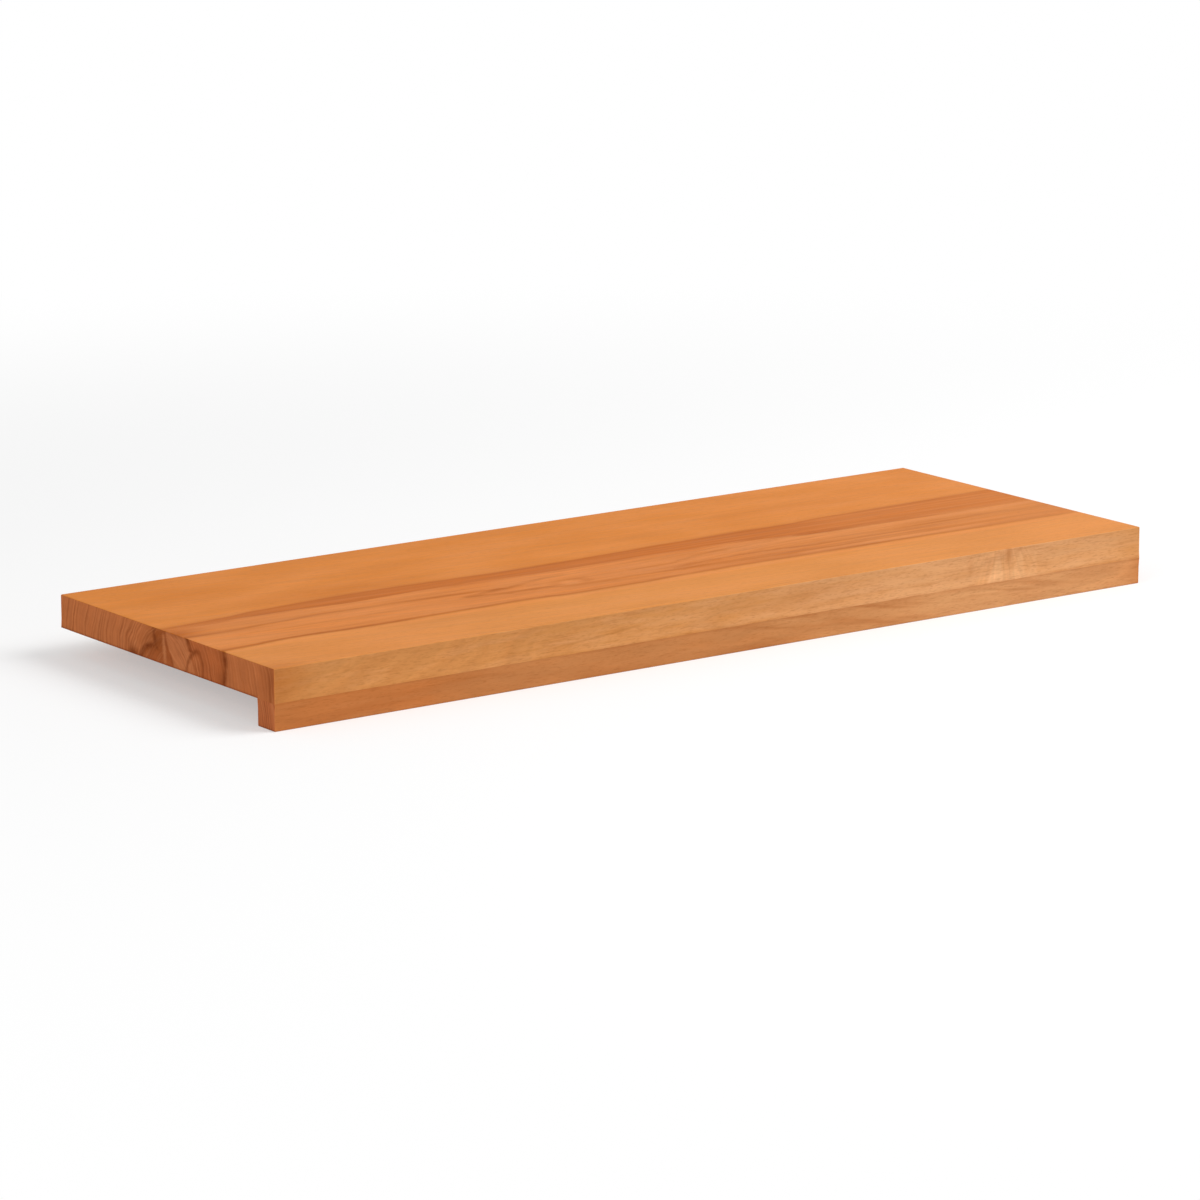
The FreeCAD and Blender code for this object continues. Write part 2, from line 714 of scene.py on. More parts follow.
@dataclass(frozen=True)
class OiledFace:
    """What plane, wear and oil leave on a board's surface.

    Attributes:
        fleck_brown: Colour of cut rays and open pores.
        glue: Colour of the glue line.
        flecks: Share of the fleck colour where a ray is cut.
        side_flecks: What is added to that share on the front and back faces.
        rubbed_and_highlight: How much lighter the upright edges are painted: wear and a painted
            highlight.
        pores: Share of the fleck colour where a vessel is cut open.
        end_pores: What that share loses on the sawn ends.
        light: How light the whole board is.
        fibre_light: How much lighter and darker its fibres are.
        roughness: The usual roughness.
        fibre_rough, streak_rough, end_rough: What fibres, streaks and sawn ends add to it.
        fibre_relief, late_relief, fleck_relief: How far fibres and late wood stand out and cut rays
            sink in, in shares of the depth.
        gloss: The share of the usual mirror reflection.
        depth: How far in metres the relief stands out.
    """

    fleck_brown: Triple
    glue: Triple
    flecks: float
    side_flecks: float
    rubbed_and_highlight: float
    pores: float = 0.3
    end_pores: float = 0.2
    light: float = 1.01
    fibre_light: float = 0.06
    roughness: float = 0.6
    fibre_rough: float = 0.05
    streak_rough: float = 0.03
    end_rough: float = 0.1
    fibre_relief: float = 0.6
    late_relief: float = 0.5
    fleck_relief: float = -0.4
    gloss: float = 0.05
    depth: float = 0.04 * MM

    def material(self, wood: Paint, stock: Stock, grain: Grain) -> bpy.types.Material:
        """Adds flecks, pores, fibres, the upright edges' wear and painted highlight, and the glue
        line, and closes the material.

        Args:
            wood: The wood's colour.
            stock: The board's coordinates.
            grain: What the tree's growth left.

        Returns:
            The finished material.
        """
        flecked = grain.fleck * (stock.on_side * self.side_flecks + self.flecks)
        open_pores = grain.pore * (self.pores - stock.on_end * self.end_pores)
        wood = wood.toward(self.fleck_brown, flecked).toward(self.fleck_brown, open_pores)
        fibres = grain.fibre * self.fibre_light
        # Upright edges painted paler: partly wear, partly a painted highlight.
        wood = wood.shaded(self.light + fibres + stock.on_corner * self.rubbed_and_highlight)
        wood = wood.toward(self.glue, stock.at_joint)
        along = grain.fibre * self.fibre_rough + grain.streak * self.streak_rough
        roughness = self.roughness + along + stock.on_end * self.end_rough
        raised = grain.fibre * self.fibre_relief + grain.late * self.late_relief
        relief = raised + grain.fleck * self.fleck_relief
        return stock.bench.finish(wood, roughness, relief, self.gloss, self.depth)


@dataclass(frozen=True)
class PlankHue:
    """The plank's colours.

    Attributes:
        sap_back, sap_front: Sapwood behind and in front of the heart.
        salmon, heart_tan: The heart at the left, and what it turns to at the right.
        pale_streak, cloud_brown: Pale streaks and brown clouds along the grain.
        band, dark_line: The dark band along the heart's back border, and the figure's lines.
        ring_brown, fleck_brown: Late wood, and cut rays and pores.
        front_left_with_sheen, front_right_with_sheen, flake_pale: The front face, paler and greyer
        than the top partly from painted sheen that grows towards the right, and its flakes.
        end_sap, end_salmon, end_heart, end_pale, end_line: The sawn ends.
    """

    sap_back: Triple = srgb(214, 130, 54)
    sap_front: Triple = srgb(216, 140, 70)
    salmon: Triple = srgb(214, 130, 63)
    heart_tan: Triple = srgb(190, 138, 90)
    pale_streak: Triple = srgb(222, 144, 82)
    cloud_brown: Triple = srgb(196, 112, 40)
    band: Triple = srgb(190, 104, 36)
    dark_line: Triple = srgb(168, 86, 14)
    ring_brown: Triple = srgb(180, 98, 40)
    fleck_brown: Triple = srgb(160, 94, 44)
    front_left_with_sheen: Triple = srgb(207, 142, 82)
    front_right_with_sheen: Triple = srgb(221, 164, 114)
    flake_pale: Triple = srgb(232, 178, 128)
    end_sap: Triple = srgb(192, 111, 62)
    end_salmon: Triple = srgb(181, 97, 50)
    end_heart: Triple = srgb(148, 75, 30)
    end_pale: Triple = srgb(212, 134, 84)
    end_line: Triple = srgb(124, 56, 16)


HUE = PlankHue()


@dataclass(frozen=True)
class PlankFigure:
    """The lines and stains that a red heart leaves in the plank.

    Attributes:
        back_border, front_border: The heart's borders.
        middle_line: A line inside the heart, near the left end, that only goes down part of the way.
        dark_lines: Two lines that meet in a point, like a church window, and the fainter ones.
        pale_lines: Pale lines between them, at the right.
        gable: A line down the left end, where the rings of both sides meet.
        dark_stains: Small dark patches.
        eye: A small pale knot inside the point of the dark lines, with a dark ring.
        eye_ring: The ring's radius and half width in shares of the eye's, and its strength.
        eye_pale: Where in the eye its pale colour starts and where it shows in full.
        lobe: A leaning egg on the left end, drawn as an outline.
        lobe_lean: How far it leans to the front, for each millimetre up.
        lobe_width: Half width of its outline, as a share of its radii.
        lobe_nibble: How uneven that outline is.
        steady: The share of the sway that the steadier lines keep.
        drawn_size, drawn, drawn_uneven: Size of the patches in which a line is drawn plainly or
            faintly, how plainly it is drawn, and how uneven that is.
        drawn_less: How much more faintly the lines are drawn on an end.
        nibble_size, nibble: Size and depth of the raggedness of the dark lines.
    """

    back_border: FigureLine = FigureLine(
        along=((0, 141.5), (50, 136), (100, 129.5), (150, 126.5), (200, 125), (250, 127.5),
               (300, 128.5), (350, 128.5), (400, 126), (500, 121.5), (580, 119.3), (615, 115.8),
               (660, 115), (750, 111.5), (800, 110)),
        lean=((0, 0), (1, -5), (6, -8), (12, -11), (14, -18), (16, -25), (21, -28), (25, -34)),
        strength=((0, 0.4), (80, 0.4), (150, 0.35), (550, 0.4), (640, 0.3), (800, 0.25)),
        width=5.0,
    )
    front_border: FigureLine = FigureLine(
        along=((0, 222.5), (32, 219.5), (65, 216.8), (100, 217.6), (140, 218), (175, 216.8),
               (250, 216.2), (287, 217), (310, 219.5), (362, 218.5), (400, 216.5), (450, 215.5),
               (540, 215.3), (700, 216), (800, 217)),
        lean=((0, 0), (0.8, 3.2), (6, 4.3), (12, 4.8), (20, 3.4), (25, 2.6)),
        strength=((0, 0.82), (10, 0.68), (150, 0.63), (300, 0.55), (420, 0.52), (500, 0.42),
                  (600, 0.48), (690, 0.36), (800, 0.33)),
        width=4.6,
        soak=0.2,
    )
    middle_line: FigureLine = FigureLine(
        along=((0, 171), (25, 172.5), (60, 170), (90, 168.5), (125, 166.7), (187, 167.5),
               (225, 169), (262, 172)),
        lean=((0, 1), (0.6, 6), (5, 7.5), (9, 9), (25, 17)),
        strength=((0, 0.75), (12, 0.5), (100, 0.43), (200, 0.5), (245, 0.38), (262, 0)),
        lasting=((0, 1), (8, 1), (10, 0), (25, 0)),
        width=4.8,
    )
    dark_lines: tuple[FigureLine, ...] = (
        FigureLine(
            along=((230, 184.5), (246, 183), (255, 179), (265, 176.8), (285, 174), (305, 168.5),
                   (345, 162)),
            strength=((226, 0), (242, 0.2), (256, 0.35), (268, 0.6), (280, 0.55), (295, 0.35),
                      (320, 0.25), (345, 0)),
            width=6.0,
            halo=0.3,
        ),
        FigureLine(
            along=((230, 183.5), (250, 185), (260, 188.5), (272, 190.5), (302, 192), (320, 197.5),
                   (400, 198.5), (440, 199.5), (480, 202), (530, 204), (580, 204), (630, 202),
                   (800, 206)),
            strength=((226, 0), (242, 0.2), (262, 0.4), (280, 0.5), (300, 0.55), (312, 0.4),
                      (325, 0.25), (400, 0.3), (450, 0.4), (585, 0.28), (640, 0.16), (800, 0.18)),
            width=6.0,
            halo=0.3,
        ),
        FigureLine(
            along=((520, 150.5), (550, 154), (575, 158.5), (625, 160.5), (800, 159)),
            strength=((500, 0), (560, 0.3), (600, 0.35), (640, 0.25), (680, 0.18), (800, 0.12)),
        ),
        FigureLine(
            along=((385, 181), (430, 178), (460, 170), (505, 163.5), (545, 160)),
            strength=((385, 0), (410, 0.3), (500, 0.28), (545, 0)),
        ),
        FigureLine(
            along=((415, 198), (460, 188.5), (500, 187.5), (560, 191), (680, 189.5)),
            strength=((415, 0), (440, 0.3), (520, 0.36), (590, 0.28), (680, 0)),
        ),
        FigureLine(
            along=((500, 184), (560, 180), (640, 182), (760, 179)),
            strength=((500, 0), (530, 0.14), (600, 0.14), (720, 0.2), (760, 0)),
        ),
    )
    pale_lines: tuple[FigureLine, ...] = (
        FigureLine(
            along=((525, 208), (710, 208.5)),
            strength=((525, 0), (560, 0.6), (680, 0.55), (710, 0)),
        ),
        FigureLine(
            along=((600, 165.5), (800, 166)),
            strength=((600, 0), (650, 0.4), (800, 0.4)),
        ),
    )
    gable: FigureLine = FigureLine(
        along=((0, 146.4), (30, 150), (800, 157)),
        lean=((0, 0), (6, 1), (12.5, 4), (17.5, 7.8), (25, 10)),
        strength=((0, 0.48), (8, 0.2), (16, 0), (800, 0)),
        width=3.0,
    )
    dark_stains: tuple[Stain, ...] = (
        Stain((0, 161, 0), (16, 15, 4), 0.45),
        Stain((241, 184, 0), (14, 5.5, 8), 0.42),
        Stain((338, 181, 0), (18, 6, 8), 0.22),
        Stain((172, 254, 0), (8, 3, 4), 0.15),
        Stain((0, 102, 25), (12, 12, 8.5), 1.0),
        Stain((0, 290, 10), (48, 30, 30), 0.45),
        Stain((666, 290, 5), (5, 8, 10), 0.35),
        Stain((628, 290, 8), (5, 8, 14), 0.15),
    )
    eye: Stain = Stain((327, 188, 0), (13, 8, 9), 0.45)
    eye_ring: Triple = (1.1, 0.7, 0.2)
    eye_pale: Span = (1.0, 0.1)
    lobe: Stain = Stain((0, 185, 26), (60, 11, 18.5), 0.65)
    lobe_lean: float = 0.25
    lobe_width: float = 0.26
    lobe_nibble: float = 0.07
    steady: float = 0.5
    drawn_size: Triple = (45, 12, 7)
    drawn: float = 0.9
    drawn_uneven: float = 0.35
    drawn_less: float = 0.06
    nibble_size: Triple = (16, 6, 8)
    nibble: float = 1.6

    def lobe_shell(self, stock: Stock) -> Signal:
        """Distance from the middle of the lobe, in shares of its radii."""
        leaning = stock.u - (self.lobe.centre[2] - stock.v) * self.lobe_lean
        return stock.reach(self.lobe.centre, self.lobe.radii, leaning)

    def draw(self, wood: Paint, stock: Stock, sway: Signal) -> Paint:
        """Draws the lines, the stains, the lobe and the eye over the wood.

        Args:
            wood: The wood's colour so far.
            stock: The board's coordinates.
            sway: How far the lines sway from their drawn course.

        Returns:
            The wood with its figure.
        """
        bench, steady = stock.bench, sway * self.steady
        ink = bench.mix(stock.on_end, HUE.dark_line, HUE.end_line)
        patches = bench.cloud(stock.point, self.drawn_size, 3, seed=5) * self.drawn_uneven
        drawn = patches + (self.drawn - stock.on_end * self.drawn_less)
        nibble = bench.cloud(stock.point, self.nibble_size, 2, seed=10)
        ragged = sway + nibble * self.nibble
        for line in self.pale_lines:
            wood = wood.toward(HUE.pale_streak, line.share(stock, steady))
        border = self.back_border.share(stock, sway) * (1.0 - stock.on_end)
        wood = wood.toward(ink, border * drawn)
        for line in self.dark_lines:
            wood = wood.toward(ink, line.share(stock, ragged) * drawn)
        for line in (self.middle_line, self.gable):
            wood = wood.toward(ink, line.share(stock, sway) * drawn)
        wood = wood.toward(ink, self.front_border.share(stock, steady) * drawn)
        for stain in self.dark_stains:
            wood = wood.toward(ink, stain.share(stock))
        outline = (self.lobe_shell(stock) + nibble * self.lobe_nibble - 1.0).ridge(self.lobe_width)
        fading = stock.x.rise(self.lobe.radii[0], 0.0) * self.lobe.strength
        wood = wood.toward(ink, outline * drawn * fading)
        eye = stock.reach(self.eye.centre, self.eye.radii)
        radius, width, strength = self.eye_ring
        wood = wood.toward(ink, (eye - radius).ridge(width) * strength)
        return wood.toward(HUE.pale_streak, eye.rise(*self.eye_pale) * self.eye.strength)


@dataclass(frozen=True)
class PlankSides:
    """The plank along its grain: pale sapwood front and back, a dark band and salmon between.

    Attributes:
        sap_turn: u where the sapwood's tone starts and ends its change from back to front.
        right_pale, right_share: x where the wood starts to grow paler and where it is palest, and
            how much of the pale colour shows there.
        margin, margin_share: Middle and half width of a pale margin in front of the heart, and how
            much of the pale colour shows in it.
        flush, flush_x, flush_share: How far in front of the heart a salmon tinge starts and is
            full, the same along x, and its share.
        brown_clouds, heart_clouds: Brown clouds in the sapwood and in the heart.
        mottle_size, mottle: Size and colours of the wood's mottling.
        dusk_x, dusk_u, dusk_share: Where the heart's front right is browner, and by how much.
        tan_x, tan_share: Where the heart turns to tan, and by how much.
        red_stain: A red stain at the left end.
        rib_size, ribs: Size and colours of the heart's broad streaks.
        thread_size, threads: Size and colours of its narrow streaks.
        thread_x: x where these start and where they are full.
        thread_climb, thread_u: x and how far they have climbed towards the back there, and the u
            where that starts and where it is full.
        band_depth: x and how far the dark band reaches in front of the heart's back border.
        band_strength: x and how dark it is.
        band_back, band_front: Where its back and front edges start and are full.
        band_share, band_ribs: Its usual strength, and how far ribs change it.
        ragged_size, ragged: Size and depth of its front edge's raggedness.
        foot, foot_strength: Inset and half width of the dark line along that edge, and x and how
            dark it is.
        rings, heart_rings, ring_x: How dark late wood is, how much darker in the heart, and from
            which x to which that grows.
        light: x and how light the wood is.
        glow, glow_x, glow_light: Middle and half width of a lighter margin in front of the heart,
            the x between which it doubles, and how much lighter it is.
        mottle_light, streak_light, heart_streak_light: How much lighter and darker mottling and
            streaks are, and what the heart adds to that.
    """

    sap_turn: Span = (195, 245)
    right_pale: Span = (450, 800)
    right_share: float = 0.25
    margin: Span = (6.0, 7.0)
    margin_share: float = 0.35
    flush: Span = (4.0, 20.0)
    flush_x: Span = (300, 80)
    flush_share: float = 0.3
    brown_clouds: tuple[Stain, ...] = (
        Stain((165, 108, 0), (140, 28, 25), 0.5),
        Stain((620, 70, 0), (140, 16, 25), 0.3),
        Stain((70, 60, 0), (80, 40, 25), 0.3),
    )
    heart_clouds: tuple[Stain, ...] = (
        Stain((250, 154, 0), (80, 13, 25), 0.4),
        Stain((370, 205, 0), (70, 16, 25), 0.5),
        Stain((450, 160, 0), (80, 18, 25), 0.45),
        Stain((760, 186, 0), (160, 28, 25), 0.55),
    )
    mottle_size: Triple = (90, 36, 30)
    mottle: Streaks = Streaks(HUE.pale_streak, 0.3, HUE.cloud_brown, 0.1, (-0.5, 1.0), (0.2, -1.0))
    dusk_x: Span = (360, 470)
    dusk_u: Span = (176, 192)
    dusk_share: float = 0.2
    tan_x: Span = (420, 620)
    tan_share: float = 0.17
    red_stain: Stain = Stain((0, 159, 0), (38, 22, 8), 1.0)
    rib_size: Triple = (110, 4.6, 8)
    ribs: Streaks = Streaks(HUE.pale_streak, 0.45, HUE.band, 0.35, (0.0, 1.3), (0.0, -1.3))
    thread_size: Triple = (90, 3.2, 8)
    threads: Streaks = Streaks(HUE.pale_streak, 0.5, HUE.ring_brown, 0.34)
    thread_x: Span = (330, 450)
    thread_climb: Points = ((380, 0), (450, 9), (520, 20), (600, 25), (800, 27))
    thread_u: Span = (200, 184)
    band_depth: Points = (
        (0, 5), (60, 11), (85, 14), (105, 17), (200, 21.7), (300, 20.5), (400, 23), (500, 29),
        (550, 33), (580, 40.5), (615, 44.5), (660, 44.5), (800, 49),
    )
    band_strength: Points = ((0, 0.8), (60, 0.95), (110, 1), (550, 1), (640, 0.68), (800, 0.62))
    band_back: Span = (-0.6, 0.8)
    band_front: Span = (5.0, -5.0)
    band_share: float = 0.94
    band_ribs: float = 0.2
    ragged_size: Triple = (70, 5, 8)
    ragged: float = 4.0
    foot: Span = (2.5, 3.5)
    foot_strength: Points = (
        (0, 0), (60, 0.05), (95, 0.3), (250, 0.28), (320, 0.12), (480, 0.15), (540, 0.35),
        (610, 0.3), (660, 0.1), (800, 0.05),
    )
    rings: float = 0.12
    heart_rings: float = 0.2
    ring_x: Span = (150, 400)
    light: Points = ((0, 0.99), (400, 1.0), (800, 1.015))
    glow: Span = (7.0, 8.0)
    glow_x: Span = (800, 300)
    glow_light: float = 0.03
    mottle_light: float = 0.018
    streak_light: float = 0.025
    heart_streak_light: float = 0.035

    def paint(self, stock: Stock, grain: Grain, back: Signal, front: Signal) -> Paint:
        """Colours the wood along the grain.

        Args:
            stock: The board's coordinates.
            grain: What the tree's growth left.
            back: Distance in front of the heart's back border.
            front: Distance in front of the heart's front border.

        Returns:
            The wood's colour, without its lines.
        """
        bench, x = stock.bench, stock.x
        heart = back.rise(-1.0, 1.0) * front.rise(1.0, -1.0)
        mottle = bench.cloud(stock.point, self.mottle_size, 3, seed=3)
        ribs = bench.cloud(stock.point, self.rib_size, 3, seed=9)
        wood = self.sapwood(stock, front).toward(HUE.salmon, heart)
        wood = self.mottle.over(wood, mottle)
        wood = self.heartwood(wood, stock, heart)
        wood = self.ribs.over(wood, ribs, heart)
        level = stock.u + x.along(self.thread_climb) * stock.u.rise(*self.thread_u)
        threads = bench.cloud(bench.joined(x, level, stock.v), self.thread_size, 2, seed=16)
        wood = self.threads.over(wood, threads, heart * x.rise(*self.thread_x))
        wood = self.dark_band(wood, stock, back, ribs)

        ringed = heart * x.rise(*self.ring_x) * self.heart_rings + self.rings
        wood = wood.toward(HUE.ring_brown, grain.late * ringed)
        middle, width = self.glow
        glow = (front - middle).ridge(width) * (x.rise(*self.glow_x) + 1.0) * self.glow_light
        streaks = grain.streak * (heart * self.heart_streak_light + self.streak_light)
        return wood.shaded(x.along(self.light) + glow + mottle * self.mottle_light + streaks)

    def sapwood(self, stock: Stock, front: Signal) -> Paint:
        """Colours the plank as if all of it were sapwood.

        Args:
            stock: The board's coordinates.
            front: Distance in front of the heart's front border.

        Returns:
            The sapwood's colour.
        """
        x = stock.x
        wood = stock.bench.mix(stock.u.rise(*self.sap_turn), HUE.sap_back, HUE.sap_front)
        wood = wood.toward(HUE.pale_streak, x.rise(*self.right_pale) * self.right_share)
        middle, width = self.margin
        wood = wood.toward(HUE.pale_streak, (front - middle).ridge(width) * self.margin_share)
        flush = front.rise(*self.flush) * x.rise(*self.flush_x)
        wood = wood.toward(HUE.salmon, flush * self.flush_share)
        for cloud in self.brown_clouds:
            wood = wood.toward(HUE.cloud_brown, cloud.share(stock))
        return wood

    def heartwood(self, wood: Paint, stock: Stock, heart: Signal) -> Paint:
        """Browns and reddens the heart in places.

        Args:
            wood: The wood's colour so far.
            stock: The board's coordinates.
            heart: 1 in the heart, 0 in the sapwood.

        Returns:
            The wood's colour, without streaks.
        """
        dusk = stock.x.rise(*self.dusk_x) * stock.u.rise(*self.dusk_u) * heart
        wood = wood.toward(HUE.cloud_brown, dusk * self.dusk_share)
        for cloud in self.heart_clouds:
            wood = wood.toward(HUE.cloud_brown, cloud.share(stock) * heart)
        wood = wood.toward(HUE.heart_tan, heart * stock.x.rise(*self.tan_x) * self.tan_share)
        return wood.toward(HUE.band, self.red_stain.share(stock))

    def dark_band(self, wood: Paint, stock: Stock, back: Signal, ribs: Signal) -> Paint:
        """Lays the dark band along the heart's back border.

        Args:
            wood: The wood's colour so far.
            stock: The board's coordinates.
            back: Distance in front of the heart's back border.
            ribs: The heart's broad streaks.

        Returns:
            The wood with the band.
        """
        x = stock.x
        ragged = stock.bench.cloud(stock.point, self.ragged_size, 2, seed=4) * self.ragged
        edge = back - x.along(self.band_depth) + ragged
        band = back.rise(*self.band_back) * edge.rise(*self.band_front)
        uneven = self.band_share - ribs * self.band_ribs
        wood = wood.toward(HUE.band, band * uneven * x.along(self.band_strength))
        inset, width = self.foot
        return wood.toward(HUE.dark_line, (edge + inset).ridge(width) * x.along(self.foot_strength))


@dataclass(frozen=True)
class PlankFront:
    """The plank's front and back faces, which run along the rings: tan, full of small dashes.

    Attributes:
        paleness: x and how far the face has turned from its left to its right colour: partly the
        wood's own tone, partly painted sheen.
        mottle_size, mottle: Size of the mottling, and how far it changes the paleness.
        flakes: Wedges where rays break out.
        bar_place, bar_reach: x of the middle of a fan of fine bars round the flakes, and how far to
            each side it reaches.
        bar_width, bar_widening: Width of a bar at the top, and how much wider it grows for each
            millimetre down.
        bar_length, bar_light: Length of a bar, and how much lighter and darker bars are.
        top_light, down_light: How light the face is at the top, and how much lighter it grows for
            each millimetre down.
        scratch, scratch_strength: x and v of a scratch, and x and how dark it is.
        scratch_width: Its half width.
        rings, dashes: How dark late wood and dashes are.
    """

    paleness: Points = ((0, 0), (120, 0.02), (400, 0.34), (600, 0.97), (690, 0.85), (800, 0.4))
    mottle_size: Triple = (38, 30, 5)
    mottle: float = 0.3
    flakes: tuple[Flake, ...] = (Flake(655, 0.36, 0.75), Flake(677, 0.34, 0.45), Flake(692, 0.2, 0.25))
    bar_place: float = 658.0
    bar_reach: float = 55.0
    bar_width: float = 1.6
    bar_widening: float = 0.04
    bar_length: float = 34.0
    bar_light: float = 0.09
    top_light: float = 0.92
    down_light: float = 0.007
    scratch: Points = ((225, 19), (265, 16.5), (310, 12.5))
    scratch_strength: Points = ((222, 0), (262, 0.3), (300, 0.35), (316, 0))
    scratch_width: float = 1.4
    rings: float = 0.12
    dashes: float = 0.22

    def paint(self, stock: Stock, grain: Grain) -> Paint:
        """Colours the faces, with painted sheen that grows towards the right.

        Args:
            stock: The board's coordinates.
            grain: What the tree's growth left.

        Returns:
            The faces' colour.
        """
        bench, x, v = stock.bench, stock.x, stock.v
        mottle = bench.cloud(stock.point, self.mottle_size, 3, seed=7) * self.mottle
        # The turn towards the right colour is partly the wood's own tone and partly painted sheen.
        wood = bench.mix(x.along(self.paleness) + mottle, HUE.front_left_with_sheen, HUE.front_right_with_sheen)
        for flake in self.flakes:
            wood = wood.toward(HUE.flake_pale, flake.share(stock))
        aside = x - self.bar_place
        fan = bench.joined(aside / (v * self.bar_widening + self.bar_width), v, 0.0)
        bars = bench.cloud(fan, (1.0, self.bar_length, 1.0), 2, seed=6) * self.bar_light
        barred = bars * aside.ridge(self.bar_reach) * stock.on_front
        wood = wood.shaded(barred + v * self.down_light + self.top_light)
        scratch = (v - x.along(self.scratch)).ridge(self.scratch_width)
        scratched = scratch * x.along(self.scratch_strength) * stock.on_front
        wood = wood.toward(HUE.fleck_brown, scratched)
        wood = wood.toward(HUE.ring_brown, grain.late * self.rings)
        return wood.toward(HUE.fleck_brown, grain.dash * self.dashes)


@dataclass(frozen=True)
class PlankEnds:
    """The plank's sawn ends, which drink more oil.

    Two half eggs, open to the front, bound the heart at the back: it is darkest along them, seeps
    out a little behind them, and pales towards the gable, where the tree split and fine slanting
    lines meet from both sides.

    Attributes:
        heart_eggs: The eggs, long enough to run through the whole plank.
        drift: x and how far the eggs have moved towards the back there.
        egg_sway: The share of the lines' sway that they follow.
        egg_blend: How softly one egg runs into the other.
        heart_edge: Reach from the eggs' middle where the heart starts, and where it is full.
        front_brown, front_brown_share: How far in front of the heart the sapwood starts to brown
            and is brownest, and by how much.
        behind: Distance from the gable where the wood behind it starts, and where it is full.
        seep, seep_v, seep_share: Reach and depth where the heart seeps out, and by how much.
        core, core_share, core_rim: Reach where the heart starts to darken towards its rim and is
            darkest, how dark it is, and how much darker at the rim.
        between_gable, between_middle, between_x: Where the pale wood between the gable and the
            middle line starts and is full.
        between_share: How pale it is.
        slant_behind, slant_before: How far the slanting lines lean for each millimetre down, behind
            the gable and in front of it.
        hatch_size, hatching: Size and colours of these lines.
        split: A pale line where the tree split.
        lobe_edge, lobe_share: Reach where the lobe's sapwood starts and is full, and its share.
        front_line: Inset and half width of the shade behind the front border, and its strength.
        blot_size: Size of the blots along the rim's dark line.
        rim_wave, rim_width, rim_swell, rim_uneven: How far blots move that line, its half width,
            and how far they change its width and its strength.
        early, late: How pale and dark the rings are.
        weave, weave_span: How pale and dark the saw's lines are, and how high ones show in full.
        foot, foot_share: v where a shade along the underside starts and is full, and its strength.
        mottle_size, light, mottle_light: Size of the mottling, how light the ends are, and how much
            lighter and darker the mottling is.
    """

    heart_eggs: tuple[Stain, Stain] = (
        Stain((0, 151, 3), (9000, 19.3, 24), 0.85),
        Stain((0, 132, 27.5), (9000, 20, 14.5), 0.85),
    )
    drift: Points = ((0, 0), (800, -30))
    egg_sway: float = 0.6
    egg_blend: float = 0.12
    heart_edge: Span = (1.05, 0.93)
    front_brown: Span = (0.0, 12.0)
    front_brown_share: float = 0.08
    behind: Span = (1.0, -4.0)
    seep: Span = (1.9, 1.0)
    seep_v: Span = (20, 8)
    seep_share: float = 0.6
    core: Span = (0.3, 0.95)
    core_share: float = 0.28
    core_rim: float = 0.5
    between_gable: Span = (-0.5, 2.0)
    between_middle: Span = (1.0, -3.0)
    between_x: Span = (200, 20)
    between_share: float = 0.45
    slant_behind: float = 0.95
    slant_before: float = -1.35
    hatch_size: Triple = (2.6, 25, 60)
    hatching: Streaks = Streaks(HUE.end_pale, 0.42, HUE.end_line, 0.24)
    split: FigureLine = FigureLine(
        along=((0, 144.3), (30, 148), (800, 155)),
        lean=((0, 0), (25, 2)),
        strength=((0, 0.55), (60, 0.5), (800, 0.3)),
        lasting=((0, 0), (2, 0.2), (6, 1), (20, 0.9), (25, 0.5)),
        width=3.8,
        halo=0.0,
    )
    lobe_edge: Span = (1.0, 0.6)
    lobe_share: float = 0.4
    front_line: Triple = (3.0, 6.0, 0.35)
    blot_size: Triple = (20, 7, 6)
    rim_wave: float = 0.05
    rim_width: float = 0.21
    rim_swell: float = 0.06
    rim_uneven: float = 0.22
    early: float = 0.2
    late: float = 0.3
    weave: float = 0.3
    weave_span: float = 1.2
    foot: Span = (22.8, 25.0)
    foot_share: float = 0.55
    mottle_size: Triple = (30, 14, 9)
    light: float = 0.98
    mottle_light: float = 0.06

    def paint(self, stock: Stock, figure: PlankFigure, front: Signal, sway: Signal) -> Paint:
        """Colours the ends.

        Args:
            stock: The board's coordinates.
            figure: The plank's lines.
            front: Distance in front of the heart's front border.
            sway: How far the lines sway from their drawn course.

        Returns:
            The ends' colour, without rings or lines.
        """
        bench, v, steady = stock.bench, stock.v, sway * figure.steady
        moved = stock.u - stock.x.along(self.drift) + sway * self.egg_sway
        shells = [
            stock.reach(egg.centre, egg.radii, bench.math("MINIMUM", moved, egg.centre[1]))
            for egg in self.heart_eggs
        ]
        rim = bench.math("SMOOTH_MIN", *shells, self.egg_blend)
        inside = rim.rise(*self.heart_edge)
        gable = figure.gable.ahead(stock, steady)
        middle = figure.middle_line.ahead(stock, steady)

